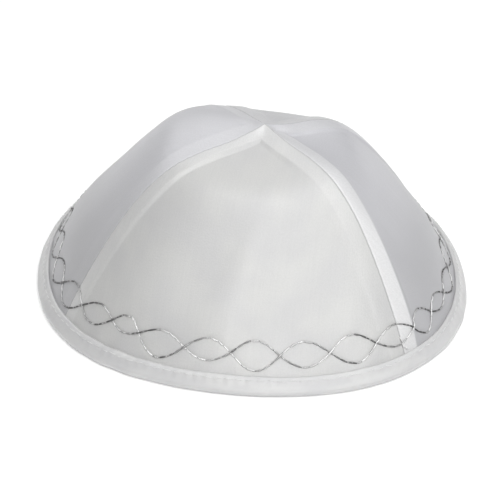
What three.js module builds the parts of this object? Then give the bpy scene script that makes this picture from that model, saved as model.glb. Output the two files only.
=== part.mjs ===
// A four-gore satin skullcap (kippah) standing on its rim.
//
// Millimetres, +Z up. The origin is on the surface that the cap stands on, under the middle of its
// rim. The front gore looks towards -Y and the right gore towards +X.
//
// Four satin gores are sewn edge to edge and meet in a small point at the tip. Their lower edges sit
// inside a folded binding that runs all the way round the rim. Every piece is a thin closed wall, and
// the inside of the cap is open at the bottom. Azimuths are in degrees about +Z, from +X towards +Y.

import * as THREE from 'three';

// ---- Driving dimensions -------------------------------------------------------------------------

const RIM_RADIUS = 86; // mean outer radius of the binding's foot
const CLOTH = 1.2; // thickness of a gore: the satin with its backing
const GAP = 0.3; // clearance between neighbouring pieces

// The foot of the rim is a round that is pulled out along one diagonal and slightly squared.
const RIM_OVAL = { amount: 0.037, azimuth: -58 };
const RIM_SQUARE = { amount: 0.022, azimuth: -49.6 };

// Where the crown's outer face enters the binding, measured from the foot of the rim.
const ENTRY = { inset: 4.6, height: 5.2 };
// How far the gores reach on down inside the binding, and how steeply.
const TUCK = { length: 2.9, slope: 56 };

const TIP_SHARE = 0.012; // the gores stop this share of the way out from the tip
const TIP_OFFSET = 5.4; // the tip stands this far towards +X from the middle of the rim
const GORE_ROUNDNESS = 2.5; // power of the curve from seam to seam: 2 is an arc, more is flatter

// Seam allowances lie pressed open under each seam and lift the satin on both sides of it.
const SEAM_BAND = { width: 6.5, raise: 0.35, softness: 0.55, mostOfGore: 0.8 };

// The crown from its tip (share 0) to the binding (share 1): the height of its outer face along the
// seams, and along the middle of a gore, before the lifts and swells below.
const CROWN_SECTIONS = [
  { share: 0.00, seam: 64.2, middle: 64.2 },
  { share: 0.07, seam: 62.4, middle: 61.1 },
  { share: 0.17, seam: 60.3, middle: 59.3 },
  { share: 0.32, seam: 58.4, middle: 56.7 },
  { share: 0.46, seam: 54.7, middle: 52.4 },
  { share: 0.60, seam: 46.7, middle: 41.8 },
  { share: 0.74, seam: 34.5, middle: 30.0 },
  { share: 0.88, seam: 19.5, middle: 18.3 },
  { share: 1.00, seam: ENTRY.height, middle: ENTRY.height },
];

// Seams in order round the cap. tip and foot are azimuths; bow is how far the seam swings aside half
// way down, in degrees, and lift is how much higher than the table it stands there.
const SEAMS = [
  { tip: -151.3, foot: -149.3, bow: -2.6, lift: -0.8 }, // front left
  { tip: -46.5, foot: -50.4, bow: 1.0, lift: 0.8 }, // front right
  { tip: 36.8, foot: 35.6, bow: -0.2, lift: 0.0 }, // back right
  { tip: 100.0, foot: 122.3, bow: -0.2, lift: -0.5 }, // back left
];

// Each gore runs from the seam with its own number to the next one. swell is how much fuller than the
// table its middle stands half way down.
const GORES = [
  { name: 'gore_front', swell: 0.0 },
  { name: 'gore_right', swell: -1.4 },
  { name: 'gore_back', swell: -0.8 },
  { name: 'gore_left', swell: 5.2 },
];

// One radial section through the binding: out is measured from the foot's outline, outwards, and up
// from the surface it stands on. The tape is folded round the gores, so the section is a slanted U.
const BINDING_SECTION = [
  { out: -3.5, up: 5.9 }, // top edge of the outer leaf
  { out: -4.3, up: 5.3 },
  { out: -2.4, up: 2.7 }, // bottom of the slot that holds the gores
  { out: -3.9, up: 1.7 },
  { out: -6.4, up: 4.6 }, // top edge of the inner leaf
  { out: -7.1, up: 4.0 },
  { out: -4.0, up: 0.5 },
  { out: -3.1, up: 0.0 }, // flat underside, inner edge
  { out: -1.1, up: 0.0 }, // flat underside, outer edge
  { out: -0.4, up: 0.2 },
  { out: 0.0, up: 0.7 }, // foot
  { out: -0.3, up: 1.5 },
  { out: -1.3, up: 3.2 },
  { out: -2.5, up: 4.8 },
];

// How finely the surfaces are faceted.
const CROWN_ROWS = 18;
const CELLS_BETWEEN_BANDS = 12;
const BAND_COLUMNS = [0, 0.45, 0.85, 1.15]; // distances from a seam, in widths of its band
const BINDING_STEPS = 72;

// ---- Materials ----------------------------------------------------------------------------------

const whiteSatin = () => new THREE.MeshStandardMaterial({
  color: 0xe6e7e8, roughness: 0.42, metalness: 0.0,
});
const bindingSatin = () => new THREE.MeshStandardMaterial({
  color: 0xdfe0df, roughness: 0.5, metalness: 0.0,
});

// ---- The rim and the crown as surfaces ----------------------------------------------------------

const radians = THREE.MathUtils.degToRad;
const lerp = THREE.MathUtils.lerp;

/** Outer radius of the binding's foot at an azimuth in radians. */
function rimRadius(azimuth) {
  const oval = RIM_OVAL.amount * Math.cos(2 * (azimuth - radians(RIM_OVAL.azimuth)));
  const square = RIM_SQUARE.amount * Math.cos(4 * (azimuth - radians(RIM_SQUARE.azimuth)));
  return RIM_RADIUS * (1 + oval + square);
}

/** A smooth curve through one column of CROWN_SECTIONS: its height and slope at a share. */
function crownHeight(column, share) {
  const rows = CROWN_SECTIONS;
  const last = rows.length - 1;
  const tangent = (i) => {
    const a = rows[Math.max(i - 1, 0)];
    const b = rows[Math.min(i + 1, last)];
    return (b[column] - a[column]) / (b.share - a.share);
  };
  let i = 0;
  while (i < last - 1 && share > rows[i + 1].share) i += 1;
  const step = rows[i + 1].share - rows[i].share;
  const t = (share - rows[i].share) / step;
  return (2 * t ** 3 - 3 * t ** 2 + 1) * rows[i][column]
    + (t ** 3 - 2 * t ** 2 + t) * step * tangent(i)
    + (3 * t ** 2 - 2 * t ** 3) * rows[i + 1][column]
    + (t ** 3 - t ** 2) * step * tangent(i + 1);
}

/** 0 at both ends of the way down and 1 half way, for bows, lifts and swells. */
const halfWay = (share) => 4 * share * (1 - share);

/** Azimuth of seam number i, in radians. Numbers past the last seam go on round the cap. */
function seamAzimuth(i, share) {
  const { tip, foot, bow } = SEAMS[i % SEAMS.length];
  const turns = 360 * Math.floor(i / SEAMS.length);
  return radians(lerp(tip, foot, share) + bow * halfWay(share) + turns);
}

/** Width of gore number g along the rim of its row. */
function goreWidth(g, share) {
  return RIM_RADIUS * share * (seamAzimuth(g + 1, share) - seamAzimuth(g, share));
}

/** Width of a seam's band as a part of the half width of gore g. */
function bandPart(g, share) {
  return Math.min((2 * SEAM_BAND.width) / goreWidth(g, share), SEAM_BAND.mostOfGore);
}

/** How full gore g is at a place across it: 0 at its seams and 1 in the middle. */
function fullness(g, share, across) {
  const band = bandPart(g, share);
  const fromMiddle = Math.abs(2 * across - 1);
  const intoBand = Math.max((fromMiddle - (1 - band)) / band, 0);
  const softened = Math.min(fromMiddle, 1 - band)
    + band * (intoBand - SEAM_BAND.softness * intoBand ** 2 / 2);
  const whole = 1 - band * SEAM_BAND.softness / 2;
  return 1 - (softened / whole) ** GORE_ROUNDNESS;
}

/**
 * How far the seam allowance lifts the satin: all of raise on the band, falling away at its edge, at
 * the tip and where the binding presses it flat.
 */
function bandRaise(g, share, across) {
  const { smoothstep } = THREE.MathUtils;
  const fromSeam = (1 - Math.abs(2 * across - 1)) / bandPart(g, share);
  const ends = smoothstep(share, 0.02, 0.15) * (1 - smoothstep(share, 0.9, 1));
  return SEAM_BAND.raise * ends * (1 - smoothstep(fromSeam, 0.8, 1.2));
}

/** Unit vector out of the crown's mean surface. Neighbouring gores share it along their seam. */
function crownNormal(share, azimuth) {
  const reach = 0.02;
  const inner = Math.max(share - reach, 0);
  const outer = Math.min(share + reach, 1);
  const fall = crownHeight('seam', inner) - crownHeight('seam', outer);
  const run = (RIM_RADIUS - ENTRY.inset) * (outer - inner);
  return new THREE.Vector3(fall * Math.cos(azimuth), fall * Math.sin(azimuth), run).normalize();
}

/** A point on gore g at a depth below its outer face. */
function crownPoint(g, share, across, depth) {
  const azimuth = lerp(seamAzimuth(g, share), seamAzimuth(g + 1, share), across);
  const lift = lerp(SEAMS[g].lift, SEAMS[(g + 1) % SEAMS.length].lift, across);
  const seam = crownHeight('seam', share) + halfWay(share) * lift;
  const middle = crownHeight('middle', share) + halfWay(share) * GORES[g].swell;
  const radius = (rimRadius(azimuth) - ENTRY.inset) * share;
  const point = new THREE.Vector3(
    radius * Math.cos(azimuth) + TIP_OFFSET * (1 - share),
    radius * Math.sin(azimuth),
    lerp(seam, middle, fullness(g, share, across)),
  );
  const rise = depth > 0 ? -depth : bandRaise(g, share, across);
  return point.addScaledVector(crownNormal(share, azimuth), rise);
}

/** A point on the hidden lower edge of gore g, inside the binding. */
function tuckPoint(g, across, depth) {
  const azimuth = lerp(seamAzimuth(g, 1), seamAzimuth(g + 1, 1), across);
  const slope = radians(TUCK.slope);
  const out = TUCK.length * Math.cos(slope) - depth * Math.sin(slope);
  const up = -TUCK.length * Math.sin(slope) - depth * Math.cos(slope);
  const radius = rimRadius(azimuth) - ENTRY.inset + out;
  return new THREE.Vector3(radius * Math.cos(azimuth), radius * Math.sin(azimuth), ENTRY.height + up);
}

// ---- Closed meshes from rings of points ---------------------------------------------------------

/**
 * A closed mesh through rings of points, each of which closes on itself. A loop of rings joins its
 * last ring to its first. A strip of rings is capped at both ends instead: each ring there runs out
 * along one face of a wall and back along the other, so the cap is a row of quads between the two.
 */
function loft(rings, { loop }) {
  const count = rings[0].length;
  const index = [];
  const quad = (a, b, c, d) => index.push(a, b, c, a, c, d);
  const joins = loop ? rings.length : rings.length - 1;
  for (let r = 0; r < joins; r += 1) {
    const here = r * count;
    const next = ((r + 1) % rings.length) * count;
    for (let k = 0; k < count; k += 1) {
      const after = (k + 1) % count;
      quad(here + k, next + k, next + after, here + after);
    }
  }
  if (!loop) {
    const end = (rings.length - 1) * count;
    for (let k = 0; k < count / 2 - 1; k += 1) {
      const back = count - 1 - k;
      quad(k, k + 1, back - 1, back);
      quad(end + k, end + back, end + back - 1, end + k + 1);
    }
  }
  const geometry = new THREE.BufferGeometry();
  const positions = rings.flat().flatMap((point) => point.toArray());
  geometry.setAttribute('position', new THREE.Float32BufferAttribute(positions, 3));
  geometry.setIndex(index);
  geometry.computeVertexNormals();
  return geometry;
}

// ---- Gores --------------------------------------------------------------------------------------

/** Places of a row's points across gore g, closer together beside the seams. */
function columnsAcross(g, share) {
  const half = goreWidth(g, share) / 2;
  const edge = (GAP / 2) / half;
  const band = bandPart(g, share);
  const left = BAND_COLUMNS.map((widths) => edge + widths * band * (1 - edge));
  const start = left[left.length - 1];
  const middle = [];
  for (let i = 1; i < CELLS_BETWEEN_BANDS; i += 1) {
    middle.push(lerp(start, 2 - start, i / CELLS_BETWEEN_BANDS));
  }
  const right = left.map((place) => 2 - place).reverse();
  return [...left, ...middle, ...right].map((place) => place / 2);
}

/** A gore: rings from the tip down to the binding, and one more inside it. */
function goreGeometry(g) {
  const ring = (share, place) => {
    const across = columnsAcross(g, share);
    const outer = across.map((at) => place(at, 0));
    const inner = across.map((at) => place(at, CLOTH));
    return [...outer, ...inner.reverse()];
  };
  const rings = [];
  for (let row = 0; row <= CROWN_ROWS; row += 1) {
    const share = lerp(TIP_SHARE, 1, row / CROWN_ROWS);
    rings.push(ring(share, (at, depth) => crownPoint(g, share, at, depth)));
  }
  rings.push(ring(1, (at, depth) => tuckPoint(g, at, depth)));
  return loft(rings, { loop: false });
}

// ---- Binding ------------------------------------------------------------------------------------

/** The binding: its section carried round the foot of the rim. */
function bindingGeometry() {
  const rings = [];
  for (let step = 0; step < BINDING_STEPS; step += 1) {
    const azimuth = (2 * Math.PI * step) / BINDING_STEPS;
    const at = ({ out, up }) => {
      const radius = rimRadius(azimuth) + out;
      return new THREE.Vector3(radius * Math.cos(azimuth), radius * Math.sin(azimuth), up);
    };
    rings.push(BINDING_SECTION.map(at));
  }
  return loft(rings, { loop: true });
}

// ---- Assembly -----------------------------------------------------------------------------------

function piece(name, geometry, material) {
  const mesh = new THREE.Mesh(geometry, material);
  mesh.name = name;
  return mesh;
}

const kippah = new THREE.Group();
kippah.name = 'kippah';
GORES.forEach(({ name }, g) => kippah.add(piece(name, goreGeometry(g), whiteSatin())));
kippah.add(piece('rim_binding', bindingGeometry(), bindingSatin()));

export default kippah;
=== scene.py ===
"""The looks of a four-gore white satin kippah with a silver thread border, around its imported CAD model."""

import math
from collections import namedtuple

import bpy
import numpy as np
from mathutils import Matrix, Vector


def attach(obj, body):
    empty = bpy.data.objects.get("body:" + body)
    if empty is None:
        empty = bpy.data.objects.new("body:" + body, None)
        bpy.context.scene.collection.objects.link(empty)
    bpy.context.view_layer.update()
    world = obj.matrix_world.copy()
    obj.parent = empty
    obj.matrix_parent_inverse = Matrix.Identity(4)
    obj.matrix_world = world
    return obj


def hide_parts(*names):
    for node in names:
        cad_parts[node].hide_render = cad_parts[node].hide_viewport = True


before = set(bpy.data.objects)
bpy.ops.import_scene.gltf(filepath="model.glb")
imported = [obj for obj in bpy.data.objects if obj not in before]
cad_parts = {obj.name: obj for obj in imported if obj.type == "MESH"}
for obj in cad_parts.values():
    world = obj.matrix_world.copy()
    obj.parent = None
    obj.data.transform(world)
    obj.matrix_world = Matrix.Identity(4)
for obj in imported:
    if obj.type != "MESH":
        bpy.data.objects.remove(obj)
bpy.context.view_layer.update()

# ---- Sizes, in millimetres and degrees -----------------------------------------------------------

MM = 0.001

RIM_RADIUS = 86.0  # mean outer radius of the binding's foot
CLOTH = 1.2  # thickness of a gore
SEAM_GAP = 0.12  # between two gores at their seam

# The foot of the rim: a round pulled out along one diagonal and slightly squared.
RIM_OVAL, RIM_OVAL_AT = 0.037, -58.0
RIM_SQUARE, RIM_SQUARE_AT = 0.022, -49.6

# Where the crown's outer face enters the binding, from the foot's outline and the table.
ENTRY_INSET, ENTRY_HEIGHT = 4.6, 5.2
TUCK_LENGTHS, TUCK_SLOPE = (0.9, 1.8, 2.6), 56.0  # the gores run on down inside it

TIP_SHARE = 0.003  # the gores stop this share of the way out from the tip
TIP_OFFSET = 5.4  # the tip stands this far towards +X
GORE_ROUNDNESS = 2.5  # power of the curve from seam to seam
NORMAL_STEP = 0.02  # the crown's slope is taken over this share each way

# Seam allowances lie pressed open under each seam and hold the satin up on both sides of it.
BAND_WIDTH, BAND_SOFTNESS, BAND_MOST = 6.5, 0.55, 0.8
BAND_FALL = 2.3  # the satin comes down off an allowance's edge over this distance
BAND_START = 0.1  # the satin's lift at the seam itself
SEAM_ROLL, SEAM_ROLL_WIDTH = 0.12, 0.4  # the satin rolls down into the seam
PUCKER, PUCKER_WIDTH, PUCKER_STEP = 0.05, 2.2, 3.3  # the seam's stitches draw small ripples up
GATHER = 0.12  # height of the gathers where the gores enter the binding
SEAM_SHADE_WIDTH = 0.45  # painted shade in the seam's groove darkens the satin this far out

# The crown from its tip, share 0, to the binding, share 1: the height of its outer face along the
# seams and along the middle of a gore.
Section = namedtuple("Section", "share seam middle")
CROWN_SECTIONS = [
    Section(0.00, 64.2, 64.2),
    Section(0.07, 62.4, 61.1),
    Section(0.17, 60.3, 59.3),
    Section(0.32, 58.4, 56.7),
    Section(0.46, 54.7, 52.4),
    Section(0.60, 46.7, 41.8),
    Section(0.74, 34.5, 30.0),
    Section(0.88, 19.5, 18.3),
    Section(1.00, ENTRY_HEIGHT, ENTRY_HEIGHT),
]

# tip and foot are azimuths. Half way down, the seam swings aside by bow degrees and stands higher by
# lift. before and after are how far the allowances' edges lift the satin on the seam's two sides, near
# the tip and near the rim.
Seam = namedtuple("Seam", "name tip foot bow lift before after")
SEAMS = [
    Seam("front_left", -151.3, -149.3, -2.6, -0.8, (0.2, 0.15), (1.1, 0.45)),
    Seam("front_right", -46.5, -50.4, 1.0, 0.8, (0.5, 0.2), (0.9, 1.4)),
    Seam("back_right", 36.8, 35.6, -0.2, 0.0, (0.45, 0.6), (0.45, 0.6)),
    Seam("back_left", 100.0, 122.3, -0.2, -0.5, (0.3, 0.5), (0.3, 0.5)),
]

# Each gore runs from the seam with its own number to the next. swell is how much fuller its middle
# stands half way down. wide, long and area are the flat piece that it was cut from. The last column is
# how much painted shade the gore takes: a cooler, dimmer satin colour, darker still where the crown is
# steep, standing in for how the light falls on a satin whose warp lies another way.
Gore = namedtuple("Gore", "name swell wide long area cool")
GORES = [
    Gore("gore_front", 0.0, 146, 112, 9100, 0.0),
    Gore("gore_right", -1.4, 124, 108, 7200, 1.0),
    Gore("gore_back", -0.8, 126, 108, 7000, 0.6),
    Gore("gore_left", 5.2, 128, 112, 8700, 0.9),
]

# The middle of the binding's tape where it is folded round the gores' lower edges: out from the
# foot's outline, and up from the table.
Fold = namedtuple("Fold", "out up")
BINDING_FOLDS = [
    Fold(-4.45, 5.55),  # top edge of the outer leaf
    Fold(-3.1, 4.4),
    Fold(-1.9, 2.8),
    Fold(-0.8, 1.4),
    Fold(-0.9, 0.6),
    Fold(-2.0, 0.5),
    Fold(-3.3, 0.6),
    Fold(-4.3, 1.4),
    Fold(-5.5, 2.8),
    Fold(-6.7, 4.2),  # top edge of the inner leaf
]
TAPE = 1.0  # thickness of the tape
FLOOR_GAP = 0.02  # the tape's creases stay this far off the floor
BINDING_RINGS = 1260
TOPSTITCH_DOWN = 1.4  # the stitch row lies this far below the outer leaf's top edge
TOPSTITCH_COUNT = 138
TOPSTITCH_RADIUS = 0.17
TOPSTITCH_STEP = 2 * math.pi * RIM_RADIUS / TOPSTITCH_COUNT
TAPE_JOIN = math.radians(SEAMS[3].foot)  # the tape's ends meet at the back left seam
TAPE_PUFF, TAPE_PUFF_LENGTH = 0.25, 0.9  # the tape is this share thicker beside its two edges
ALLOWANCE = 0.5  # thickness of a seam allowance
ALLOWANCE_START, ALLOWANCE_END = 0.03, 0.985  # shares of the way down the crown
ALLOWANCE_GAP, ALLOWANCE_CURL = 0.06, 0.25  # between it and the gore, and how far its edge hangs off

# The border's two threads cross, part round a lens and cross again. Each lens starts at a crossing's
# azimuth, and its threads reach the two shares of the way down the crown. The rest of the 28 lenses
# share the back of the cap evenly.
Lens = namedtuple("Lens", "azimuth high low")
FRONT_LENSES = [
    Lens(-189.3, 0.925, 0.985),
    Lens(-174.4, 0.930, 0.985),
    Lens(-159.8, 0.916, 0.983),
    Lens(-144.8, 0.910, 0.967),
    Lens(-132.0, 0.902, 0.949),
    Lens(-122.5, 0.912, 0.983),
    Lens(-108.5, 0.909, 0.967),
    Lens(-95.5, 0.905, 0.983),
    Lens(-82.7, 0.909, 0.975),
    Lens(-69.8, 0.909, 0.981),
    Lens(-57.3, 0.921, 0.973),
    Lens(-45.2, 0.917, 0.982),
    Lens(-35.7, 0.924, 0.967),
    Lens(-24.3, 0.930, 0.985),
    Lens(-9.7, 0.925, 0.982),
]
BACK_LENS = Lens(6.2, 0.915, 0.978)
LENS_COUNT = 28
STITCH = 2.9  # length of one stitch of the border
THREAD_RADIUS = 0.3
THREAD_DIP, THREAD_DIP_WIDTH = 0.16, 0.8  # the border's threads press the satin in
THREAD_SINK, THREAD_ARCH = 0.06, 0.26  # a stitch's ends lie in the satin and its middle stands up
THREAD_OVER, CROSSING_WIDTH = 0.45, 1.6  # the upper thread's extra height where two threads cross
GLINT_SLANT_TURNS_AT = -85.0  # azimuth where the stitches with a painted glint change from one slant to the other

# Steps that repeat along the threads of the cloth and of the sewing.
WARP_STEP, WEFT_STEP = 0.34, 0.46
STRIP_TURN = 0.55  # the silver strip goes once round its core in this length
PLY_TURN = 0.8


# ---- The rim and crown as surfaces ---------------------------------------------------------------


def smoothstep(value, low, high):
    t = np.clip((value - low) / (high - low), 0.0, 1.0)
    return t * t * (3 - 2 * t)


def smooth_curve(places, values, at):
    """A smooth curve through a table's values, read at any places."""
    places, values, at = (np.asarray(x, float) for x in (places, values, at))
    before = np.concatenate([[0], np.arange(len(places) - 1)])
    after = np.concatenate([np.arange(1, len(places)), [len(places) - 1]])
    tangents = (values[after] - values[before]) / (places[after] - places[before])
    i = np.clip(np.searchsorted(places, at, side="right") - 1, 0, len(places) - 2)
    step = places[i + 1] - places[i]
    t = (at - places[i]) / step
    return (
        (2 * t**3 - 3 * t**2 + 1) * values[i]
        + (t**3 - 2 * t**2 + t) * step * tangents[i]
        + (3 * t**2 - 2 * t**3) * values[i + 1]
        + (t**3 - t**2) * step * tangents[i + 1]
    )


def crown_height(column, share):
    shares = [row.share for row in CROWN_SECTIONS]
    heights = [getattr(row, column) for row in CROWN_SECTIONS]
    return smooth_curve(shares, heights, share)


def rim_out(azimuth):
    """The level direction out from the middle of the rim."""
    return np.stack([np.cos(azimuth), np.sin(azimuth)], -1)


def rim_radius(azimuth):
    oval = RIM_OVAL * np.cos(2 * (azimuth - math.radians(RIM_OVAL_AT)))
    square = RIM_SQUARE * np.cos(4 * (azimuth - math.radians(RIM_SQUARE_AT)))
    return RIM_RADIUS * (1 + oval + square)


def half_way(share):
    """0 at both ends of a way from 0 to 1, and 1 half way along it."""
    return 4 * share * (1 - share)


def seam_azimuth(number, share):
    seam = SEAMS[number % len(SEAMS)]
    turns = 360 * (number // len(SEAMS))
    along = seam.tip * (1 - share) + seam.foot * share
    return np.radians(along + seam.bow * half_way(share) + turns)


def gore_width(number, share):
    spread = seam_azimuth(number + 1, share) - seam_azimuth(number, share)
    return RIM_RADIUS * share * spread


def crown_normal(share, azimuth):
    """Out of the crown's mean surface. Neighbouring gores share it along their seam."""
    inner, outer = np.maximum(share - NORMAL_STEP, 0), np.minimum(share + NORMAL_STEP, 1)
    fall = crown_height("seam", inner) - crown_height("seam", outer)
    run = (RIM_RADIUS - ENTRY_INSET) * (outer - inner)
    size = np.hypot(fall, run)
    return np.stack([fall * np.cos(azimuth), fall * np.sin(azimuth), run], -1) / size[..., None]


def fullness(number, share, across):
    """How far the satin has risen from its seams: 0 at them and 1 in the middle of the gore."""
    band = np.minimum(2 * BAND_WIDTH / gore_width(number, share), BAND_MOST)
    from_middle = np.abs(2 * across - 1)
    into_band = np.maximum((from_middle - (1 - band)) / band, 0)
    softened = np.minimum(from_middle, 1 - band) + band * (into_band - BAND_SOFTNESS * into_band**2 / 2)
    return 1 - (softened / (1 - band * BAND_SOFTNESS / 2)) ** GORE_ROUNDNESS


def crown_point(number, share, across, rise=0.0):
    """Points on a gore, raised off its plain outer face by rise."""
    share, across = np.broadcast_arrays(np.asarray(share, float), np.asarray(across, float))
    start, end = seam_azimuth(number, share), seam_azimuth(number + 1, share)
    azimuth = start + across * (end - start)
    first, second = SEAMS[number % len(SEAMS)], SEAMS[(number + 1) % len(SEAMS)]
    lift = first.lift * (1 - across) + second.lift * across
    seam = crown_height("seam", share) + half_way(share) * lift
    middle = crown_height("middle", share) + half_way(share) * GORES[number % len(GORES)].swell
    radius = (rim_radius(azimuth) - ENTRY_INSET) * share
    height = seam + (middle - seam) * fullness(number, share, across)
    points = np.stack(
        [radius * np.cos(azimuth) + TIP_OFFSET * (1 - share), radius * np.sin(azimuth), height], -1
    )
    return points + crown_normal(share, azimuth) * np.asarray(rise)[..., None]


# ---- The silver border's path --------------------------------------------------------------------


def all_lenses():
    """Every lens round the cap, in order, and the first one again a turn later."""
    lenses = list(FRONT_LENSES)
    last = FRONT_LENSES[0].azimuth + 360
    back = LENS_COUNT - len(FRONT_LENSES)
    for i in range(back):
        azimuth = BACK_LENS.azimuth + (last - BACK_LENS.azimuth) * i / back
        lenses.append(BACK_LENS._replace(azimuth=azimuth))
    return lenses + [FRONT_LENSES[0]._replace(azimuth=last)]


LENSES = all_lenses()
CROSSINGS = np.array([lens.azimuth for lens in LENSES])
LENS_MIDDLES = np.array([(lens.high + lens.low) / 2 for lens in LENSES])
CROSSING_SHARES = (np.roll(LENS_MIDDLES[:-1], 1) + LENS_MIDDLES[:-1]) / 2


def thread_share(azimuth, start_high):
    """How far down the crown one thread of the border runs at azimuths in degrees."""
    turned = (np.asarray(azimuth) - CROSSINGS[0]) % 360 + CROSSINGS[0]
    k = np.clip(np.searchsorted(CROSSINGS, turned, side="right") - 1, 0, LENS_COUNT - 1)
    t = (turned - CROSSINGS[k]) / (CROSSINGS[k + 1] - CROSSINGS[k])
    start, end = CROSSING_SHARES[k], CROSSING_SHARES[(k + 1) % LENS_COUNT]
    high = np.array([lens.high for lens in LENSES])[k]
    low = np.array([lens.low for lens in LENSES])[k]
    goes_high = (k % 2 == 0) == start_high
    reach = np.where(goes_high, high, low) - (start + end) / 2
    return start + (end - start) * t + reach * np.sin(math.pi * t)


# ---- Meshes --------------------------------------------------------------------------------------


def wobble(values, *, seed):
    """A repeatable irregularity between -1 and 1 for each number."""
    hashed = np.sin(np.asarray(values, float) * 12.9898 + seed * 78.233) * 43758.5453
    return 2 * (hashed - np.floor(hashed)) - 1


def new_piece(name, vertices, faces, material, attributes):
    """A smooth-shaded mesh piece in millimetres that rides on the cap. attributes has three values at
    each vertex under each name."""
    mesh = bpy.data.meshes.new(name)
    mesh.from_pydata((np.asarray(vertices).reshape(-1, 3) * MM).tolist(), [], faces)
    mesh.polygons.foreach_set("use_smooth", [True] * len(mesh.polygons))
    for label, values in attributes.items():
        layer = mesh.attributes.new(label, "FLOAT_VECTOR", "POINT")
        layer.data.foreach_set("vector", np.asarray(values, np.float32).ravel())
    mesh.materials.append(material)
    mesh.validate()
    piece = bpy.data.objects.new(name, mesh)
    bpy.context.scene.collection.objects.link(piece)
    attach(piece, "root")
    return piece


def ring_faces(rings, count, loop, caps=True):
    """Quads that join rings of points, each closed on itself. The first and last ring of an open row
    are capped by strips, as each ring runs out along one face of a wall and back along the other."""
    r = np.arange(rings if loop else rings - 1)[:, None] * count
    after_ring = (np.arange(rings if loop else rings - 1)[:, None] + 1) % rings * count
    k = np.arange(count)[None]
    after = (k + 1) % count
    faces = np.stack([r + k, after_ring + k, after_ring + after, r + after], -1).reshape(-1, 4).tolist()
    if caps and not loop:
        end = (rings - 1) * count
        for k in range(count // 2 - 1):
            back = count - 1 - k
            faces.append([k, k + 1, back - 1, back])
            faces.append([end + k, end + back, end + back - 1, end + k + 1])
    return faces


def wall(outer, inner, cut, cool=0.0, pressed=0.0):
    """A thin wall between two grids of points, as one ring of points for each row. cut is where each
    point lies on its cloth, and pressed is how hard an allowance presses on it from behind, which also
    sets how much whiteness and painted highlight the satin takes over the band."""
    rings = np.concatenate([outer, inner[:, ::-1]], 1)
    places = np.concatenate([cut, cut[:, ::-1]], 1)
    pressed = np.broadcast_to(pressed, outer.shape[:2])
    face = np.zeros(rings.shape)
    face[:, outer.shape[1] :, 0] = 1
    # How much painted shade, a cooler and dimmer satin colour, this cloth takes.
    face[..., 1] = cool
    face[..., 2] = np.concatenate([pressed, pressed[:, ::-1]], 1)
    return rings, places, face


def walls_piece(name, walls, material):
    """Closed walls joined into one piece of cloth."""
    faces, first = [], 0
    for rings, _, _ in walls:
        faces.extend([first + k for k in face] for face in ring_faces(*rings.shape[:2], loop=False))
        first += rings.shape[0] * rings.shape[1]
    points, cut, face = (np.concatenate([w[k].reshape(-1, 3) for w in walls]) for k in range(3))
    return new_piece(name, points, faces, material, {"cut": cut, "face": face})


def tubes_piece(name, paths, radii, sides, normals, tones, material):
    """Closed tubes joined into one piece. paths is tubes x points x 3, with a radius and a surface
    normal at each point. The attribute tube holds the length along each tube, the turn round it
    from its underside and the tube's own tone, which on the silver border also carries painted glints
    and painted reflection."""
    tubes, points = paths.shape[:2]
    along = np.gradient(paths, axis=1)
    along /= np.linalg.norm(along, axis=2, keepdims=True)
    side = np.cross(along, normals)
    side /= np.linalg.norm(side, axis=2, keepdims=True)
    up = np.cross(side, along)
    turn = np.linspace(0, 2 * math.pi, sides, endpoint=False)
    section = np.sin(turn)[:, None] * side[:, :, None] - np.cos(turn)[:, None] * up[:, :, None]
    vertices = paths[:, :, None] + section * radii[:, :, None, None]
    steps = np.linalg.norm(np.diff(paths, axis=1), axis=2)
    length = np.concatenate([np.zeros((tubes, 1)), np.cumsum(steps, 1)], 1)
    faces = []
    one = np.array(ring_faces(points, sides, loop=False, caps=False))
    ends = np.arange(sides)
    for first in range(0, tubes * points * sides, points * sides):
        faces.extend((one + first).tolist())
        faces.append((first + ends).tolist())
        faces.append((first + (points - 1) * sides + ends[::-1]).tolist())
    labels = np.stack(np.broadcast_arrays(length[..., None], turn, tones[:, None, None]), -1)
    return new_piece(name, vertices, faces, material, {"tube": labels})


# ---- Shader maths --------------------------------------------------------------------------------


class Val:
    """A value or colour inside a material. Arithmetic on it adds Math nodes."""

    def __init__(self, shade, socket):
        self.shade = shade
        self.socket = socket

    def math(self, operation, *operands):
        return self.shade.node("ShaderNodeMath", {"operation": operation}, dict(enumerate(operands)))

    def __add__(self, other):
        return self.math("ADD", self, other)

    def __radd__(self, other):
        return self.math("ADD", other, self)

    def __sub__(self, other):
        return self.math("SUBTRACT", self, other)

    def __rsub__(self, other):
        return self.math("SUBTRACT", other, self)

    def __mul__(self, other):
        return self.math("MULTIPLY", self, other)

    def __rmul__(self, other):
        return self.math("MULTIPLY", other, self)

    def sine(self):
        return self.math("SINE", self)

    def ramp(self, low, high, to_low=0.0, to_high=1.0):
        """Eases from to_low to to_high as the value goes from low to high."""
        limits = {"From Min": low, "From Max": high, "To Min": to_low, "To Max": to_high}
        return self.shade.node(
            "ShaderNodeMapRange", {"interpolation_type": "SMOOTHSTEP"}, {"Value": self, **limits}
        )


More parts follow.
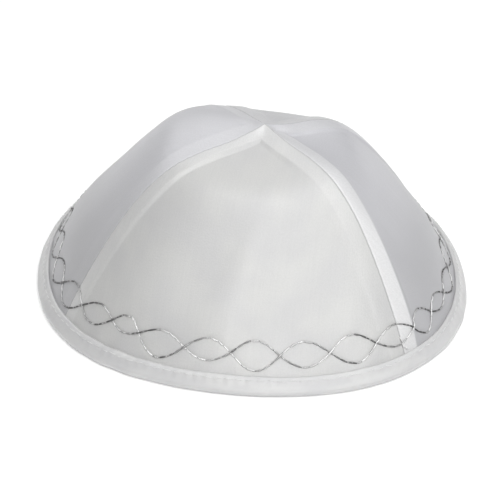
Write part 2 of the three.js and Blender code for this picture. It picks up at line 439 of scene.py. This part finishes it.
class Shade:
    """A material being made."""

    def __init__(self, name):
        self.material = bpy.data.materials.new(name)
        self.material.use_nodes = True
        self.material.node_tree.nodes.clear()

    def node(self, kind, settings=None, inputs=None, out=0):
        """Adds a node: its settings are made first, then the values or links of its sockets."""
        node = self.material.node_tree.nodes.new(kind)
        for name, value in (settings or {}).items():
            setattr(node, name, value)
        for name, value in (inputs or {}).items():
            if isinstance(value, Val):
                self.material.node_tree.links.new(value.socket, node.inputs[name])
            else:
                node.inputs[name].default_value = value
        if isinstance(out, tuple):
            return tuple(Val(self, node.outputs[name]) for name in out)
        return Val(self, node.outputs[out])

    def attribute(self, name):
        vector = self.node("ShaderNodeAttribute", {"attribute_name": name}, out="Vector")
        return self.node("ShaderNodeSeparateXYZ", inputs={0: vector}, out=("X", "Y", "Z"))

    def noise(self, x, y, z=0.0, detail=2.0):
        vector = self.node("ShaderNodeCombineXYZ", inputs={"X": x, "Y": y, "Z": z})
        inputs = {"Vector": vector, "Scale": 1.0, "Detail": detail}
        return self.node("ShaderNodeTexNoise", inputs=inputs, out="Fac")

    def mix(self, share, first, second):
        """Goes from the first colour to the second as share goes from 0 to 1."""
        return self.node("ShaderNodeMix", {"data_type": "RGBA"}, {0: share, 6: first, 7: second}, out=2)

    def bump(self, height):
        """A bump from a height in millimetres."""
        inputs = {"Height": height, "Distance": MM, "Strength": 1.0}
        return self.node("ShaderNodeBump", inputs=inputs, out="Normal")

    def finish(self, **sockets):
        """Closes the material with its surface. Underscores stand for the spaces of socket names."""
        inputs = {name.replace("_", " "): value for name, value in sockets.items()}
        surface = self.node("ShaderNodeBsdfPrincipled", inputs=inputs, out="BSDF")
        self.node("ShaderNodeOutputMaterial", inputs={"Surface": surface}, out=())
        return self.material


def grey(value, warm=0.0):
    """A near-grey in linear light, a little yellower or, below 0, bluer."""
    return (value, value, value * (1 - warm), 1.0)


# ---- Materials -----------------------------------------------------------------------------------


def make_white_satin():
    """Polyester satin. Long warp floats run from tip to rim and give streaks a little rougher and
    smoother than each other. The wrong side is dull."""
    shade = Shade("white_satin")
    across, along, seam = shade.attribute("cut")
    inside, cool, pressed = shade.attribute("face")
    slubs = shade.noise(across * 1.3, along * 0.04, detail=4.0)
    mottle = shade.noise(across * 0.05, along * 0.05, 5.0)
    floats = (across * (2 * math.pi / WARP_STEP) + (along * 3.1).sine() * 0.8).sine()
    picks = (along * (2 * math.pi / WEFT_STEP) + across * 2.4).sine()
    grain = shade.noise(across * 1.9, along * 1.5, 7.0, detail=3.0)
    height = floats * 0.003 + picks * inside.ramp(0, 1, 0.0015, 0.008) + slubs * 0.02 + grain * 0.07
    cloth = shade.mix(mottle.ramp(0.35, 0.65), grey(0.565), grey(0.595, 0.015))
    # Painted shade: the side gores' satin is cooler, lighter near the tip and darker down the steep slope,
    # for how the light falls on their sheen.
    shaded_satin = shade.mix(along.ramp(35.0, 100.0), grey(0.61, -0.05), grey(0.46, -0.035))
    cloth = shade.mix(cool, cloth, shaded_satin)
    # Over a pressed allowance the thin satin is whiter: partly the doubled cloth behind it, partly a painted
    # highlight where the raised band faces the light.
    backing_and_highlight = seam.ramp(BAND_WIDTH - 0.7, BAND_WIDTH + 0.5, 0.5, 0.0)
    cloth = shade.mix(backing_and_highlight * pressed, cloth, grey(0.85))
    cloth = shade.mix(slubs.ramp(0.3, 0.75, 0.0, 0.12), cloth, grey(0.48, -0.01))
    cloth = shade.mix(grain.ramp(0.35, 0.65, 0.0, 0.12), cloth, grey(0.38))
    cloth = shade.mix(inside * 0.35, cloth, grey(0.55, 0.01))
    # Painted shade: the satin darkens into the seam, where the groove between the gores lies in shade; it is
    # also less glossy there.
    seam_shade = seam.ramp(0.0, SEAM_SHADE_WIDTH, 1.0, 0.0)
    cloth = shade.mix(seam_shade * 0.3, cloth, grey(0.16))
    roughness = 0.32 + slubs * 0.13 + inside * 0.28
    return shade.finish(
        Base_Color=cloth,
        Metallic=0.2 - inside * 0.15 - seam_shade * 0.05,
        Roughness=roughness + seam_shade * 0.3,
        Normal=shade.bump(height),
        Specular_IOR_Level=0.5,
    )


def make_binding_satin():
    """The same satin cut on the bias for the binding, so that its threads lie at 45 degrees."""
    shade = Shade("binding_satin")
    around, down, inside = shade.attribute("tape")
    warp = (around + down) * 0.707
    weft = (around - down) * 0.707
    slubs = shade.noise(warp * 1.3, weft * 0.06, detail=4.0)
    mottle = shade.noise(around * 0.06, down * 0.2, 9.0)
    height = (warp * (2 * math.pi / WARP_STEP)).sine() * 0.003 + slubs * 0.025
    height = height + (weft * (2 * math.pi / WEFT_STEP)).sine() * 0.002
    cloth = shade.mix(mottle.ramp(0.35, 0.65), grey(0.57, -0.01), grey(0.61, 0.004))
    cloth = shade.mix(slubs.ramp(0.3, 0.75, 0.0, 0.12), cloth, grey(0.50, -0.01))
    return shade.finish(
        Base_Color=cloth,
        Metallic=0.12,
        Roughness=0.38 + slubs * 0.14 + inside * 0.1,
        Normal=shade.bump(height),
        Specular_IOR_Level=0.8,
        Sheen_Weight=0.15,
        Sheen_Roughness=0.35,
    )


def make_silver_thread():
    """Metal-wrapped thread. Flat silver strip winds round the core, with painted shade between its
    turns. Stitches are painted brighter or darker by their slant and place, painted glints run along
    it, and its sides and underside are painted dark.
    """
    shade = Shade("silver_thread")
    length, turn, tone = shade.attribute("tube")
    strip = (turn + length * (2 * math.pi / STRIP_TURN)).sine()
    glint = shade.noise(length * 0.9, tone * 40.0, detail=1.0)
    crest = (turn - math.pi / 2).sine()
    # Painted reflection and shade: each stitch's tone lightens or darkens the silver by its slant and place.
    metal = shade.mix(tone.ramp(-0.9, 0.1), grey(0.14), grey(0.55))
    metal = shade.mix(tone.ramp(0.0, 0.6), metal, grey(0.98))
    # Painted glints: bright flecks along the silver.
    metal = shade.mix(glint.ramp(0.50, 0.70, 0.0, 0.6), metal, grey(0.90, 0.005))
    # Painted shade in the grooves between the silver strip's turns.
    metal = shade.mix(strip.ramp(-1.0, -0.4, 0.4, 0.0), metal, grey(0.06))
    # Painted shade: the thread's sides and underside are darkened, as a round silver thread reflects dark
    # surroundings there.
    metal = shade.mix(crest.ramp(-0.1, 0.7, 0.6, 0.0), metal, grey(0.07))
    return shade.finish(
        Base_Color=metal,
        Metallic=1.0,
        Roughness=0.26 + glint * 0.14,
        Normal=shade.bump(strip * 0.03),
    )


def make_white_thread():
    """Spun sewing thread of two plies, with painted shade in the grooves between them."""
    shade = Shade("white_thread")
    length, turn, tone = shade.attribute("tube")
    plies = (turn * 2.0 + length * (2 * math.pi / PLY_TURN)).sine()
    fibres = shade.noise(turn * 6.0 + length * 4.0, length * 1.5, detail=3.0)
    # Painted shade in the grooves between the two plies.
    cotton = shade.mix(plies.ramp(-1.0, -0.2, 0.6, 0.0), grey(0.78), grey(0.50))
    # Each stitch's tone dims the cotton a little: at random on the binding, and with the border's painted
    # slant glints on its bobbin thread.
    cotton = shade.mix(tone.ramp(-1.0, 1.0, 0.2, 0.0), cotton, grey(0.66, 0.01))
    return shade.finish(
        Base_Color=cotton,
        Roughness=0.55 + fibres * 0.2,
        Normal=shade.bump(plies * 0.02 + fibres * 0.01),
        Sheen_Weight=0.2,
    )


def make_floor_paper():
    """Matt white paper with a fine tooth. It glows a little, so that it stays white all over."""
    shade = Shade("floor_paper")
    place = shade.node("ShaderNodeTexCoord", out="Object")
    x, y, _ = shade.node("ShaderNodeSeparateXYZ", inputs={0: place}, out=("X", "Y", "Z"))
    tooth = shade.noise(x * 900.0, y * 900.0, detail=3.0)
    paper = shade.mix(tooth, grey(0.93), grey(0.96))
    return shade.finish(Base_Color=paper, Roughness=0.85, Emission_Color=paper, Emission_Strength=0.1)


WHITE_SATIN = make_white_satin()
BINDING_SATIN = make_binding_satin()
SILVER_THREAD = make_silver_thread()
WHITE_THREAD = make_white_thread()


# ---- The gores -----------------------------------------------------------------------------------

PROFILE_SHARES = np.linspace(0, 1, 401)
PROFILE_STEPS = np.hypot(
    np.diff(PROFILE_SHARES) * (RIM_RADIUS - ENTRY_INSET), np.diff(crown_height("seam", PROFILE_SHARES))
)
PROFILE_LENGTHS = np.concatenate([[0], np.cumsum(PROFILE_STEPS)])


def slope_length(share):
    """Millimetres down the crown from the tip."""
    return np.interp(share, PROFILE_SHARES, PROFILE_LENGTHS)


def band_rise(share, from_seam, edge):
    """The satin's lift over a seam allowance, its roll into the seam and the pull of the stitches.
    edge is its lift at the allowance's raw edge."""
    step_up = BAND_START + (edge - BAND_START) * np.clip(from_seam / BAND_WIDTH, 0, 1)
    band = step_up * (1 - smoothstep(from_seam, BAND_WIDTH - 0.4, BAND_WIDTH + BAND_FALL))
    roll = SEAM_ROLL * np.exp(-((from_seam / SEAM_ROLL_WIDTH) ** 2))
    along = slope_length(share)
    ripples = np.sin(2 * math.pi * along / PUCKER_STEP + 1.7 * np.sin(along / 7.1))
    pucker = PUCKER * np.exp(-from_seam / PUCKER_WIDTH) * ripples
    fade = smoothstep(share, 0.02, 0.14) * (1 - smoothstep(share, 0.93, 1.0))
    return (band + pucker) * fade - roll * smoothstep(share, 0.0, 0.05)


BORDER_SLOPE = (slope_length(0.99) - slope_length(0.90)) / 0.09  # millimetres of slope for each share


def thread_distance(azimuth, share, start_high):
    """Millimetres over the satin to the middle of one of the border's threads."""
    step = 0.4
    degrees = np.degrees(azimuth)
    here, ahead, behind = (thread_share(degrees + turn, start_high) for turn in (0, step, -step))
    steepness = (ahead - behind) / (2 * step)
    down = BORDER_SLOPE * (share - here)
    return np.abs(down) / np.hypot(1, BORDER_SLOPE * steepness * 180 / math.pi / RIM_RADIUS)


# Soft hollows and ridges. Each is wide degrees across and tall shares down, and leans so many
# degrees for each share down the crown.
Dent = namedtuple("Dent", "azimuth share wide tall lean height")
DENTS = [
    Dent(-98.5, 0.78, 6.0, 0.26, -34.0, 0.5),
    Dent(-97.5, 0.90, 2.6, 0.12, -12.0, 0.16),
    Dent(-112.0, 0.75, 11.0, 0.20, -30.0, -0.3),
    Dent(-22.0, 0.72, 12.0, 0.20, 20.0, -0.5),
    Dent(-165.0, 0.78, 9.0, 0.16, 0.0, -0.4),
    Dent(75.0, 0.74, 14.0, 0.20, 30.0, -0.6),
    Dent(108.0, 0.30, 28.0, 0.14, 0.0, -0.6),
    Dent(150.0, 0.72, 14.0, 0.22, -25.0, -0.4),
]


def pressing(number, share, across):
    """How far the allowances' edges lift a gore, going over from one seam's value to the next one's."""
    down = smoothstep(share, 0.2, 0.75)
    first, second = SEAMS[number % len(SEAMS)].after, SEAMS[(number + 1) % len(SEAMS)].before
    after, before = (ends[0] + (ends[1] - ends[0]) * down for ends in (first, second))
    return after + (before - after) * smoothstep(across, 0.3, 0.7)


def satin_rise(number, share, across):
    """How far the satin stands off the plain crown."""
    width = gore_width(number, share)
    start, end = seam_azimuth(number, share), seam_azimuth(number + 1, share)
    azimuth = start + across * (end - start)
    rise = band_rise(share, np.minimum(across, 1 - across) * width, pressing(number, share, across))
    around = RIM_RADIUS * azimuth
    gathers = np.sin(around / 2.3 + 2 * np.sin(around / 11)) * (0.6 + 0.4 * np.sin(around / 17))
    rise = rise + GATHER * gathers * smoothstep(share, 0.93, 0.99)
    for start_high in (True, False):
        distance = thread_distance(azimuth, share, start_high)
        rise = rise - THREAD_DIP * np.exp(-((distance / THREAD_DIP_WIDTH) ** 2))
    for dent in DENTS:
        middle = dent.azimuth + dent.lean * (share - dent.share)
        turned = (np.degrees(azimuth) - middle + 180) % 360 - 180
        off = (turned / dent.wide) ** 2 + ((share - dent.share) / dent.tall) ** 2
        rise = rise + dent.height * np.exp(-off)
    return rise


def satin_point(number, share, across, above=0.0):
    """Points above the real face of a gore, with its bands, rolls and dents."""
    return crown_point(number, share, across, satin_rise(number, share, across) + above)


def satin_at(azimuth, share, above=0.0):
    """Points above the satin at azimuths in radians, on whichever gore is there."""
    azimuth, share, above = np.broadcast_arrays(*(np.asarray(x, float) for x in (azimuth, share, above)))
    points = np.empty(azimuth.shape + (3,))
    for number in range(len(GORES)):
        start, end = seam_azimuth(number, share), seam_azimuth(number + 1, share)
        across = (azimuth - start) % (2 * math.pi) / (end - start)
        here = across <= 1
        points[here] = satin_point(number, share[here], across[here], above[here])
    return points


def gore_rows():
    """Shares from tip to rim, closer together near the tip and where the border is sewn."""
    tip_end, border_start = 0.06, 0.88
    return np.concatenate(
        [
            np.linspace(TIP_SHARE, tip_end, 12, endpoint=False),
            np.linspace(tip_end, border_start, 92, endpoint=False),
            np.linspace(border_start, 1.0, 29),
        ]
    )


def gore_columns(number):
    """Places across a gore, closer together where it rolls into its seams and over the bands."""
    width = gore_width(number, 1.0)
    roll, band, step = 1.5, 9, 0.95
    roll_places = np.linspace(0, roll, 6, endpoint=False)
    band_places = np.linspace(roll, band, 12, endpoint=False)
    near = np.concatenate([roll_places, band_places]) / width
    middle = np.linspace(band / width, 1 - band / width, int(width / step))
    return np.concatenate([near, middle, 1 - near[::-1]])


def gore_places(number):
    """Shares and places across a gore's grid. They keep off the seam lines by half the seam gap."""
    share, across = np.meshgrid(gore_rows(), gore_columns(number), indexing="ij")
    gap = np.minimum(SEAM_GAP / 2 / gore_width(number, share), 0.2)
    return share, gap + across * (1 - 2 * gap)


def with_tuck(grid, steps):
    """Adds rows after the last one, each a step further on."""
    return np.concatenate([grid] + [grid[-1:] + step for step in steps])


def add_gore(number):
    """A gore's wall of satin, with its lower edge tucked into the binding."""
    gore = GORES[number]
    share, across = gore_places(number)
    width = gore_width(number, share)
    start, end = seam_azimuth(number, share[-1]), seam_azimuth(number + 1, share[-1])
    azimuth = start + across[-1] * (end - start)
    slope = math.radians(TUCK_SLOPE)
    fall = np.full(azimuth.shape + (1,), -math.sin(slope))
    down = np.concatenate([rim_out(azimuth) * math.cos(slope), fall], -1)
    lengths = np.array(TUCK_LENGTHS)[:, None, None]
    outer = with_tuck(satin_point(number, share, across), lengths * down)
    inner = with_tuck(satin_point(number, share, across, -CLOTH), lengths * down)
    from_seam = np.minimum(across, 1 - across) * width
    cut = np.stack([(across - 0.5) * width, slope_length(share), from_seam], -1)
    cut = with_tuck(cut, lengths * np.array([0, 1, 0]))
    pressed = with_tuck(pressing(number, share, across), (0, 0, 0))
    satin = wall(outer, inner, cut, gore.cool, pressed)
    piece = walls_piece(f"{gore.name}_satin", [satin], WHITE_SATIN)
    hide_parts(gore.name)


def add_seam_allowances(number, name):
    """The two raw edges under a seam, pressed open and a little frayed."""
    walls = []
    off_seam, most_of_gore = 0.0005, 0.42  # shares of the gore's width
    plain = 9  # as far from a seam as satin without a band is
    share = np.linspace(ALLOWANCE_START, ALLOWANCE_END, 150)
    columns = np.linspace(0, 1, 9)
    frayed = 1 + 0.04 * np.sin(share * 61 + number) + 0.03 * wobble(np.arange(len(share)), seed=number)
    for side, gore in ((1, number), (-1, (number - 1) % len(GORES))):
        width = gore_width(gore, share)
        reach = np.minimum(BAND_WIDTH * frayed, width * most_of_gore) / width
        across = off_seam + columns[None] * reach[:, None]
        if side < 0:
            across = 1 - across
        shares = np.broadcast_to(share[:, None], across.shape)
        curl = np.broadcast_to(ALLOWANCE_CURL * columns[None] ** 3, across.shape)
        outer = satin_point(gore, shares, across, -CLOTH - ALLOWANCE_GAP - curl)
        inner = satin_point(gore, shares, across, -CLOTH - ALLOWANCE_GAP - ALLOWANCE - curl)
        if side > 0:
            outer, inner, across = outer[:, ::-1], inner[:, ::-1], across[:, ::-1]
        cut = np.stack([across * width[:, None], slope_length(shares), np.full(shares.shape, plain)], -1)
        walls.append(wall(outer, inner, cut))
    piece = walls_piece(name, walls, WHITE_SATIN)


# ---- The binding ---------------------------------------------------------------------------------


def tape_section():
    """The folded tape's section: its two faces joined round their edges. Gives each point's place out
    from the foot's outline and up, and its distance along the tape from the outer leaf's top edge."""
    folds = np.array(BINDING_FOLDS)
    steps = np.hypot(*np.diff(folds, axis=0).T)
    lengths = np.concatenate([[0], np.cumsum(steps)])
    at = np.linspace(0, lengths[-1], 26)
    middle = np.stack([smooth_curve(lengths, folds[:, k], at) for k in range(2)], -1)
    along = np.gradient(middle, axis=0)
    along /= np.linalg.norm(along, axis=1, keepdims=True)
    side = np.stack([-along[:, 1], along[:, 0]], -1)
    from_edges = (at, lengths[-1] - at)
    first, last = (TAPE_PUFF * np.exp(-((off / TAPE_PUFF_LENGTH) ** 2)) for off in from_edges)
    puffed = TAPE * (1 + first + last)
    face = middle + side * (puffed / 2)[:, None]
    back = middle - side * (puffed / 2)[:, None]
    rounding = TAPE * 0.35
    section = np.concatenate(
        [face, middle[-1:] + along[-1:] * rounding, back[::-1], middle[:1] - along[:1] * rounding]
    )
    down = np.concatenate([at, at[-1:], at[::-1], at[:1]])
    return section, down


def binding_swell(azimuth, down):
    """Creases of the tape round the rim: pulled in at each stitch, puffed between, slightly twisted."""
    around = RIM_RADIUS * (azimuth - TAPE_JOIN)
    in_row = np.exp(-(((down - TOPSTITCH_DOWN) / 0.7) ** 2))
    near_row = np.exp(-(((down - TOPSTITCH_DOWN) / 2.4) ** 2))
    stitch = np.cos(2 * math.pi * around / TOPSTITCH_STEP)
    drag = np.sin(around / 3.1 + 1.9 * np.sin(around / 13.0) + down * 0.5)
    drag = drag * (0.5 + 0.5 * np.sin(around / 21.0))
    soft = np.sin(around / 9.0 + 1.3 * np.sin(around / 37.0))
    return -0.2 * in_row + 0.06 * stitch * near_row + 0.12 * drag + 0.08 * soft


def binding_point(azimuth, place, down, outward):
    """A point of the tape at a place of its section, moved out by its swell and kept off the floor."""
    swell = binding_swell(azimuth, down)
    shifted = place + outward * swell[..., None]
    radius = rim_radius(azimuth) + shifted[..., 0]
    height = np.maximum(shifted[..., 1], FLOOR_GAP)
    return np.concatenate([rim_out(azimuth) * radius[..., None], height[..., None]], -1)


def add_binding():
    """The folded tape round the rim. Gives its section, with its distances and its directions out, for
    the stitches through it."""
    section, down = tape_section()
    edge = np.roll(section, -1, 0) - np.roll(section, 1, 0)
    outward = np.stack([edge[:, 1], -edge[:, 0]], -1)
    outward /= np.linalg.norm(outward, axis=1, keepdims=True)
    azimuth = TAPE_JOIN + np.linspace(0, 2 * math.pi, BINDING_RINGS, endpoint=False)[:, None]
    azimuth = np.broadcast_to(azimuth, (BINDING_RINGS, len(section)))
    downs = np.broadcast_to(down, azimuth.shape)
    points = binding_point(azimuth, section[None], downs, outward[None])
    inside = smoothstep(downs, 8.0, 9.0)
    tape = np.stack([azimuth * RIM_RADIUS, downs, inside], -1)
    faces = ring_faces(BINDING_RINGS, len(section), loop=True)
    piece = new_piece("rim_binding_tape", points, faces, BINDING_SATIN, {"tape": tape})
    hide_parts("rim_binding")
    return section, down, outward


# ---- The threads ---------------------------------------------------------------------------------


def border_places(start_high):
    """The ends of the border's stitches along one thread: azimuths in degrees, evenly spaced."""
    azimuths = np.linspace(CROSSINGS[0], CROSSINGS[0] + 360, 7201)
    points = satin_at(np.radians(azimuths), thread_share(azimuths, start_high))
    lengths = np.concatenate([[0], np.cumsum(np.linalg.norm(np.diff(points, axis=0), axis=1))])
    count = round(lengths[-1] / STITCH)
    places = np.arange(count) + 0.22 * wobble(np.arange(count), seed=3 + start_high)
    return np.interp(places / count * lengths[-1], lengths, azimuths)


def border_glints_and_tones(starts, steep):
    """How bright each stitch of the border is, from -1 to 1. Stitches of one slant take a painted glint
    and those of the other painted shade, as if the light caught one slant, the front takes a brighter
    painted reflection, and each stitch also varies at random."""
    from_turn = (starts - GLINT_SLANT_TURNS_AT + 180) % 360 - 180
    slant_glint = np.clip(-2.2 * steep * np.tanh(from_turn / 10), -1, 1)
    front = np.exp(-((from_turn / 38) ** 2))
    return 0.6 * slant_glint + 0.45 * front - 0.33 + 0.3 * wobble(np.arange(len(starts)), seed=11)


def add_border_thread(name, start_high, inside):
    """One thread of the border, stitch by stitch: silver outside, or its white bobbin thread inside."""
    ends = border_places(start_high)
    starts, stops = ends, np.append(ends[1:], ends[0] + 360)
    t = np.linspace(0, 1, 9)
    azimuth = starts[:, None] * (1 - t) + stops[:, None] * t
    share_start, share_stop = thread_share(starts, start_high), thread_share(stops, start_high)
    share = share_start[:, None] * (1 - t) + share_stop[:, None] * t
    # At every second crossing this thread lies over the other.
    nearest = np.abs((azimuth[..., None] - CROSSINGS + 180) % 360 - 180)
    k = nearest.argmin(-1)
    off = nearest.min(-1) * math.pi / 180 * RIM_RADIUS
    over = ((k % LENS_COUNT % 2 == 0) == start_high) * np.exp(-((off / CROSSING_WIDTH) ** 2))
    arch = half_way(t)
    radius = THREAD_RADIUS * (0.8 + 0.2 * arch**0.5)
    height = -THREAD_SINK + THREAD_ARCH * arch + THREAD_OVER * over
    normal = crown_normal(share, np.radians(azimuth))
    if inside:
        height = -CLOTH - 0.05 - 0.18 * arch
        radius = radius * 0.6
    paths = satin_at(np.radians(azimuth), share, height)
    tones = border_glints_and_tones(starts, (share_stop - share_start) * BORDER_SLOPE / STITCH)
    radii = np.broadcast_to(radius, paths.shape[:2])
    material, slot = (WHITE_THREAD, "white_thread") if inside else (SILVER_THREAD, "silver_thread")
    tubes_piece(name, paths, radii, 10, normal, tones, material)


def add_topstitches(name, section, down, outward, inside):
    """The row of stitches through the binding, on its outer leaf or inside on the other."""
    number = np.arange(TOPSTITCH_COUNT)
    t = np.linspace(-0.5, 0.5, 8)
    middle = (number + 0.5 + 0.08 * wobble(number, seed=5)) * TOPSTITCH_STEP
    length = 0.62 * TOPSTITCH_STEP * (1 + 0.25 * wobble(number, seed=6))
    azimuth = TAPE_JOIN + (middle[:, None] + length[:, None] * t) / RIM_RADIUS
    slant = 0.2 * wobble(number, seed=7)[:, None] * t * 2 + 0.16 * wobble(number, seed=8)[:, None]
    row = (down.max() - TOPSTITCH_DOWN if inside else TOPSTITCH_DOWN) + slant
    half = len(section) // 2
    # The section runs up one leaf's face first and then back along the other face.
    face = slice(0, half - 1)
    lengths, places, normals = down[face], section[face], outward[face]
    place = np.stack([np.interp(row, lengths, places[:, k]) for k in range(2)], -1)
    out = np.stack([np.interp(row, lengths, normals[:, k]) for k in range(2)], -1)
    arch = 1 - (2 * t) ** 2
    raised = place + out * (-0.18 + 0.3 * arch)[:, None]
    paths = binding_point(azimuth, raised, row, out)
    normal = np.concatenate([rim_out(azimuth) * out[..., :1], out[..., 1:]], -1)
    radii = np.broadcast_to(TOPSTITCH_RADIUS * (0.6 + 0.4 * arch), row.shape)
    tones = wobble(number, seed=9)
    tubes_piece(name, paths, radii, 8, normal, tones, WHITE_THREAD)


# The last stitches of the front right seam, just above the binding: degrees from the seam and shares.
TACK_RADIUS = 0.3
Tack = namedtuple("Tack", "start share stop stop_share")
TACKS = [
    Tack(0.1, 0.956, 0.5, 0.968),
    Tack(0.5, 0.972, 0.2, 0.982),
    Tack(0.5, 0.980, 1.4, 0.991),
]


def add_seam_tack():
    """The short thick stitches that hold the front right seam's end."""
    foot = SEAMS[1].foot
    t = np.linspace(0, 1, 8)
    azimuth = np.radians([foot + tack.start * (1 - t) + tack.stop * t for tack in TACKS])
    share = np.array([tack.share * (1 - t) + tack.stop_share * t for tack in TACKS])
    arch = np.sqrt(half_way(t))
    paths = satin_at(azimuth, share, 0.45 * arch - 0.1)
    radii = np.broadcast_to(TACK_RADIUS * (0.6 + 0.4 * arch), share.shape)
    normals, tones = crown_normal(share, azimuth), np.full(len(TACKS), -1.0)
    tubes_piece("seam_tack_stitches", paths, radii, 8, normals, tones, WHITE_THREAD)


# ---- Putting the cap together --------------------------------------------------------------------

for gore_number in range(len(GORES)):
    add_gore(gore_number)
for seam_number, seam in enumerate(SEAMS):
    add_seam_allowances(seam_number, f"seam_allowance_{seam.name}")
tape, tape_down, tape_outward = add_binding()
add_border_thread("silver_wave_first", True, inside=False)
add_border_thread("silver_wave_second", False, inside=False)
add_border_thread("bobbin_wave_first", True, inside=True)
add_border_thread("bobbin_wave_second", False, inside=True)
add_seam_tack()
add_topstitches("binding_topstitches", tape, tape_down, tape_outward, inside=False)
add_topstitches("binding_bobbin_stitches", tape, tape_down, tape_outward, inside=True)


# ---- Floor, light and camera ---------------------------------------------------------------------


FLOOR_HALF = 6  # metres


def add_floor():
    mesh = bpy.data.meshes.new("floor_sheet")
    corners = [(x * FLOOR_HALF, y * FLOOR_HALF, 0) for x, y in ((-1, -1), (1, -1), (1, 1), (-1, 1))]
    mesh.from_pydata(corners, [], [(0, 1, 2, 3)])
    mesh.materials.append(make_floor_paper())
    floor = bpy.data.objects.new("floor_sheet", mesh)
    bpy.context.scene.collection.objects.link(floor)


def aim(thing, place, target):
    """Puts a lamp or camera at a place and turns it to look at the target."""
    thing.location = place
    thing.rotation_euler = (Vector(target) - Vector(place)).to_track_quat("-Z", "Y").to_euler()


# Softboxes stand round the cap at one distance and face its middle: degrees, metres and watts.
SOFTBOX_DISTANCE = 2.0
CAP_MIDDLE = (0, 0, 0.03)
ROOM_LIGHT = 0.2
Softbox = namedtuple("Softbox", "name azimuth elevation wide tall power")
SOFTBOXES = [
    Softbox("softbox_low", -90, 25, 1.0, 1.0, 8.0),
    Softbox("softbox_front_left", -135, 40, 1.0, 1.0, 1.5),
    Softbox("softbox_front_right", -45, 35, 1.0, 1.0, 6.5),
    Softbox("softbox_right", 8, 20, 0.8, 0.8, 2.0),
    Softbox("softbox_high_right", 0, 50, 1.0, 1.0, 3.5),
    Softbox("softbox_high_back", 45, 60, 1.0, 1.0, 2.0),
    Softbox("softbox_back", 98, 32, 1.0, 1.0, 3.0),
    Softbox("softbox_back_left", 118, 9, 1.0, 0.6, 1.0),
    Softbox("strip_front", -95, 60, 0.35, 2.4, 5.5),
    Softbox("softbox_top_front", -90, 75, 2.4, 2.4, 12.0),
    Softbox("softbox_top", 90, 80, 3.2, 3.2, 19.0),
]


def add_softbox(box):
    light = bpy.data.lights.new(box.name, "AREA")
    light.shape = "RECTANGLE"
    light.size, light.size_y = box.wide, box.tall
    light.energy = box.power
    lamp = bpy.data.objects.new(box.name, light)
    bpy.context.scene.collection.objects.link(lamp)
    azimuth, elevation = math.radians(box.azimuth), math.radians(box.elevation)
    flat, up = SOFTBOX_DISTANCE * math.cos(elevation), SOFTBOX_DISTANCE * math.sin(elevation)
    aim(lamp, (flat * math.cos(azimuth), flat * math.sin(azimuth), up), CAP_MIDDLE)


def add_room_light():
    """A faint even light from everywhere."""
    world = bpy.data.worlds.new("studio")
    world.use_nodes = True
    background = world.node_tree.nodes["Background"].inputs
    background["Color"].default_value = (1, 1, 1, 1)
    background["Strength"].default_value = ROOM_LIGHT
    bpy.context.scene.world = world


CAMERA_LENS, CAMERA_SENSOR = 130.4, 36  # millimetres
CAMERA_DISTANCE, CAMERA_DOWN = 0.7, 30  # metres, and degrees that it looks down
CAMERA_TARGET = (-0.00024, 0, 0.00993)  # metres


def add_camera():
    data = bpy.data.cameras.new("camera")
    data.sensor_width = CAMERA_SENSOR
    data.lens = CAMERA_LENS
    camera = bpy.data.objects.new("camera", data)
    bpy.context.scene.collection.objects.link(camera)
    down = math.radians(CAMERA_DOWN)
    x, _, z = CAMERA_TARGET
    place = (x, -CAMERA_DISTANCE * math.cos(down), z + CAMERA_DISTANCE * math.sin(down))
    aim(camera, place, CAMERA_TARGET)
    bpy.context.scene.camera = camera


add_floor()
for softbox in SOFTBOXES:
    add_softbox(softbox)
add_room_light()
add_camera()
bpy.context.scene.view_settings.view_transform = "Standard"
